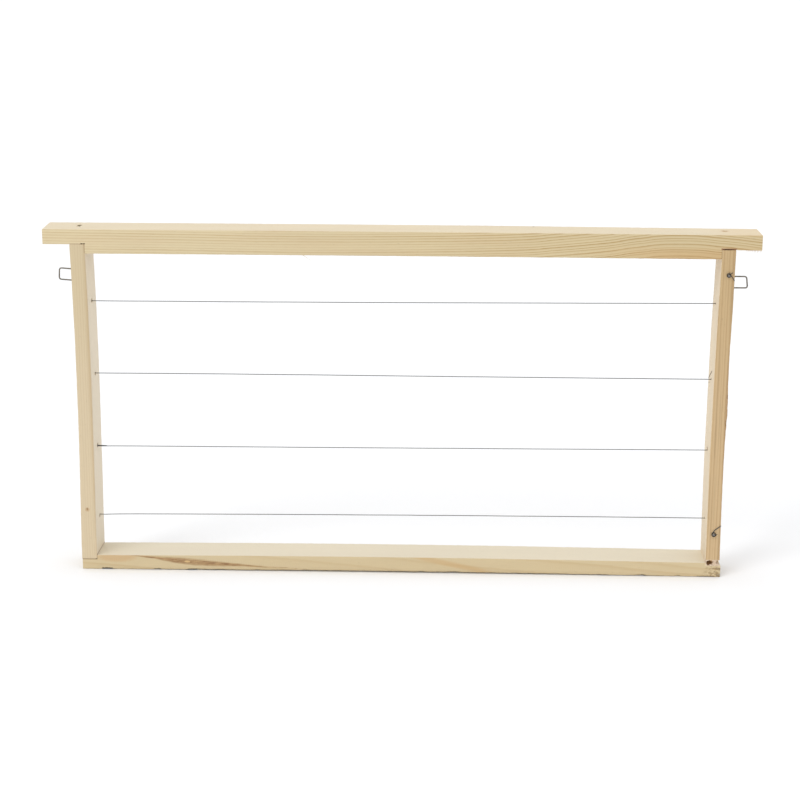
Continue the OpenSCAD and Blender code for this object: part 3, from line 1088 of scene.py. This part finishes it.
def frame_wire(mat):
    """One wire from the upper tack through the eight holes to the lower tack."""
    up_x, up_z = tack_place("upper_wire_tack")
    low_x, low_z = tack_place("lower_wire_tack")
    y = FRONT - WIRE_FRONT
    path = [(up_x + 2.4, y - 1.0, up_z + 2.0), (up_x + 1.5, y - 0.95, up_z + 1.2)]
    path += coil((up_x, up_z), 1.2, 60, 790, y - 0.95, y - 0.05, 1.15)
    path += [(up_x + 2.2, y, up_z - 1.2), (outer_x(1, 212) - 0.12, y, 211.8)]
    path += [(outer_x(1, 210) - 0.05, -8.0, 210.4), (outer_x(1, 197) + WIRE_SIDE, -3, 196.0)]
    path += span(3)[::-1] + outer_run(-1, 3, 2) + span(2)
    path += outer_run(1, 2, 1) + span(1)[::-1]
    path += outer_run(-1, 1, 0) + span(0)
    path += [(outer_x(1, 38.5) + WIRE_SIDE, -8, 38.5), (outer_x(1, 38.0) - 0.12, y, 37.8)]
    path += [(low_x + 0.6, y, low_z + 3.1)]
    path += coil((low_x, low_z), 1.25, 105, 680, y - 0.05, y - 0.9, 1.2)
    path += [(low_x + 2.4, y - 0.95, low_z + 0.4)]
    bm = bmesh.new()
    add_tube(bm, rounded_path(path, 0.5, 3), WIRE_R, 10)
    # propolis on the wire by the second hole of the left side bar
    x, z = inner_x(-1, WIRE_Z[-1][1]), WIRE_Z[-1][1]
    dab = [(x - 1 + 7.4 * k / 12, 0.05 * waver(k, 2, 2), z + 0.05) for k in range(13)]
    add_tube(bm, dab, lambda t: 0.5 - 0.18 * t + 0.06 * waver(t, 4, 0.15), 10)
    bm = prepare(bm, None)
    return link("strung_wire", shaded(bm, "frame_wire", 60), mat, "frame_wire")


def lathe(profile, at, turn):
    """A turned shape: profile is (radius, height) along the local Z."""
    bm = bmesh.new()
    angles = [2 * math.pi * k / 28 for k in range(28)]
    rings = []
    for r, h in profile:
        if r == 0:
            rings.append([bm.verts.new((0, 0, h))])
        else:
            rings.append([bm.verts.new((r * math.cos(a), r * math.sin(a), h)) for a in angles])
    skin(bm, rings)
    bmesh.ops.transform(bm, matrix=Matrix.Translation(at) @ turn.to_4x4(), verts=bm.verts)
    return bm


def tack(mat, name, node, tilt):
    """A small blued tack with a domed, slightly hammered head."""
    proud = FRONT - mm_box(node)[0].y
    profile = [(0.0, proud), (0.3, proud - 0.02), (0.6, proud - 0.1), (0.8, proud - 0.22),
               (0.9, proud - 0.38), (0.91, proud - 0.46), (0.85, proud - 0.54), (0.6, proud - 0.62),
               (0.52, proud - 0.9), (0.5, -7.4), (0.32, -8.6), (0.0, -9.4)]
    x, z = tack_place(node)
    bm = lathe(profile, (x, FRONT, z), Matrix.Rotation(math.radians(90 + tilt), 3, "X"))
    for v in bm.verts:
        if v.co.y < FRONT - 1.0:
            v.co.x += 0.06 * waver(v.co.z * 3, 1, 1.0)
            v.co.z += 0.06 * waver(v.co.x * 3, 2, 1.0)
    bm = prepare(bm, None)
    return link(name, shaded(bm, node, 40), mat, node)


STAPLE_R = 0.5
STAPLE_Z = {-1: 208.9, 1: 208.0}
STAPLE_TILT = {-1: 4, 1: 0}
# how far out the lower and upper corners of each crown stand
STAPLE_OUT = {-1: (10.1, 10.2), 1: (10.3, 9.4)}


def staple(mat, side, name, node):
    """A spacer staple bent from round wire, its two legs driven into the side bar."""
    tilt = math.radians(STAPLE_TILT[side])
    half, deep = 3.95, 8.0
    low, high = STAPLE_OUT[side]
    pts = []
    for out, rise in [(-deep, -half), (low, -half + 0.05), (high, half), (-deep, half)]:
        x = out * math.cos(tilt) - rise * math.sin(tilt)
        z = rise * math.cos(tilt) + out * math.sin(tilt)
        pts.append((side * (HALF_W + x), 0, STAPLE_Z[side] + z))
    path = rounded_path(pts, 1.7, 8)
    dense = []
    for a, b in zip(path, path[1:]):
        n = max(1, int((b - a).length / 0.8))
        dense += [a.lerp(b, k / n) for k in range(n)]
    dense.append(path[-1])
    dense = [p + Vector((0, 0.05 * waver(p.x + p.z, side, 3), 0)) for p in dense]
    bm = bmesh.new()
    add_tube(bm, dense, STAPLE_R, 14)
    bm = prepare(bm, None)
    return link(name, shaded(bm, node, 60), mat, node)


def nail(mat, name, node, up, deeper=0.0):
    """A wire nail with a flat head, driven from above or from below. The middle of its head
    lies deeper than the rim of its CAD node by deeper."""
    lo, hi = mm_box(node)
    c = (lo + hi) / 2
    length = hi.z - lo.z
    r = (hi.x - lo.x) / 2
    profile = [(0.0, -deeper), (r * 0.45, -deeper), (r - 0.25, -deeper - 0.02),
               (r - 0.06, -deeper - 0.12), (r - 0.05, -0.7), (r - 0.6, -0.88), (0.9, -1.3),
               (0.9, -length + 2.6), (0.45, -length + 1.0), (0.0, -length + 0.1)]
    turn = Matrix.Identity(3) if up else Matrix.Rotation(math.pi, 3, "X")
    bm = prepare(lathe(profile, (c.x, c.y, hi.z if up else lo.z), turn), None)
    return link(name, shaded(bm, node), mat, node)


METAL_RELIEF = 0.00001  # metres


def metal(name, colour, oxide, rough, blotch_scale=0.9):
    """Dull steel: blotches of oxide, uneven polish and fine roughness."""
    g = Nodes(name)
    p = g.place()
    blotch = g.noise(p, blotch_scale, 4.0, 0.6)
    fine = g.noise(p, 6.0, 2.0, 0.6)
    colour = g.mix(g.step(blotch, 0.42, 0.72), colour, oxide)
    colour = g.scale(colour, g.add(0.9, g.mul(fine, 0.2)))
    g.put(g.bsdf.inputs["Base Color"], colour)
    uneven = g.add(rough, g.mul(g.sub(fine, 0.5), 0.2))
    g.put(g.bsdf.inputs["Roughness"], g.add(uneven, g.mul(g.sub(blotch, 0.5), 0.3)))
    g.bsdf.inputs["Metallic"].default_value = 1.0
    g.put(g.bsdf.inputs["Normal"], g.bump(g.add(fine, blotch), METAL_RELIEF))
    return g.mat


# ---- floor and light
FLOOR_HALF = 12
SKY, SUN, SUN_WIDTH = 0.96, 0.62, 24
SUN_HEADING = (1.0, 0.95, -1.5)


def floor_and_light():
    bm = bmesh.new()
    bmesh.ops.create_grid(bm, x_segments=2, y_segments=2, size=FLOOR_HALF)
    mesh = to_mesh(bm, "floor")
    floor = bpy.data.objects.new("floor", mesh)
    bpy.context.scene.collection.objects.link(floor)
    g = Nodes("floor_white")
    g.bsdf.inputs["Base Color"].default_value = (0.95, 0.958, 0.975, 1)
    g.bsdf.inputs["Roughness"].default_value = 0.9
    g.bsdf.inputs["Specular IOR Level"].default_value = 0.1
    mesh.materials.append(g.mat)

    world = bpy.data.worlds.new("studio")
    bpy.context.scene.world = world
    world.use_nodes = True
    background = world.node_tree.nodes["Background"]
    background.inputs["Color"].default_value = (1, 1, 1, 1)
    background.inputs["Strength"].default_value = SKY

    light = bpy.data.lights.new("key", "SUN")
    light.energy, light.angle = SUN, math.radians(SUN_WIDTH)
    key = bpy.data.objects.new("key", light)
    key.rotation_euler = Vector(SUN_HEADING).to_track_quat("-Z", "Y").to_euler()
    bpy.context.scene.collection.objects.link(key)
    bpy.context.scene.view_settings.view_transform = "Standard"


# ---- the frame
PALE = srgb(216, 200, 163)
PALE_LATE = srgb(176, 143, 90)
ROSY = srgb(210, 186, 150)
# directions: up, and the way each side bar's inner face looks
UP, IN_LEFT, IN_RIGHT = (0, 0, 1), (1, 0, 0), (-1, 0, 0)


def build():
    make_camera()
    # the faces entries give painted light: paler, greyer colour and fainter rings on upward and
    # inner faces
    top = wood(
        "pine_top", 0, top_rings, PALE, PALE_LATE, contrast=1.0, period=1.75, patch_tint=ROSY,
        faces=[(UP, (1.06, 1.075, 1.18), 0.06)], stains=top_stains, vary=top_vary,
    )
    base = wood(
        "pine_bottom", 0, bottom_rings, srgb(207, 188, 150), PALE_LATE, contrast=0.24, period=2.6,
        faces=[(UP, (1.16, 1.285, 1.62), 0.2)], stains=bottom_stains, relief=planer_marks,
    )
    left = wood(
        "pine_left", 2, left_rings, srgb(212, 194, 162), srgb(184, 156, 114), contrast=0.32,
        period=1.2, faces=[(IN_LEFT, (1.08, 1.15, 1.31), 0.6)], stains=left_stains,
    )
    right = wood(
        "pine_right", 2, right_rings, srgb(202, 174, 132), srgb(156, 116, 70), contrast=0.43,
        period=1.6, streaks=0.13, faces=[(IN_RIGHT, (1.22, 1.41, 1.8), 0.4)], stains=right_stains,
    )
    top_bar(top)
    bottom_bar(base)
    side_bar(
        left, -1, "pine_left_bar", "left_side_bar",
        chips=[
            (215.8, FRONT, HEAD_Z, (0.9, 1.8, 0.7)),
            (214.1, FRONT, HEAD_Z, (0.8, 1.8, 0.7)),
            (214.0, FRONT, FOOT_Z, (1.0, 1.2, 0.5)),
        ],
    )
    side_bar(
        right, 1, "pine_right_bar", "right_side_bar",
        chips=[
            (216.6, FRONT, 11.0, (2.5, 2.6, 1.7)),
            (215.6, FRONT, 9.8, (1.2, 1.8, 2.2)),
            (220.8, FRONT - 0.3, 10.3, (3.8, 2.2, 2.3)),
            (224.2, FRONT + 1, 10.6, (3.2, 12.0, 2.1)),
            (217.6, FRONT, HEAD_Z, (4.8, 1.8, 0.65)),
            (223.4, FRONT, 112, (0.7, 0.8, 2.2)),
            (223.6, FRONT, 131, (0.6, 0.7, 1.6)),
        ],
        grooves=[(*TEARS[0], 0.4)],
    )
    wire = metal("drawn_steel", (0.09, 0.09, 0.09), (0.05, 0.048, 0.045), 0.38, 0.4)
    blued = metal("blued_steel", (0.25, 0.24, 0.235), (0.13, 0.115, 0.105), 0.38)
    plated = metal("plated_wire", (0.24, 0.22, 0.19), (0.13, 0.11, 0.09), 0.32, 0.6)
    dull = metal("nail_steel", (0.1, 0.09, 0.08), (0.07, 0.05, 0.04), 0.5)
    rusty = metal("rusty_nail", (0.66, 0.5, 0.3), (0.45, 0.28, 0.13), 0.6)
    frame_wire(wire)
    tack(blued, "upper_tack", "upper_wire_tack", 6)
    tack(blued, "lower_tack", "lower_wire_tack", -5)
    staple(plated, -1, "left_staple", "left_spacer_staple")
    staple(plated, 1, "right_staple", "right_spacer_staple")
    nail(dull, "left_head_nail", "left_top_nail", True, 0.5)
    nail(rusty, "right_head_nail", "right_top_nail", True, 0.1)
    for side in ("left", "right"):
        for row in ("front", "rear"):
            nail(dull, f"{side}_foot_nail_{row}", f"{side}_bottom_nail_{row}", False)
    floor_and_light()


build()
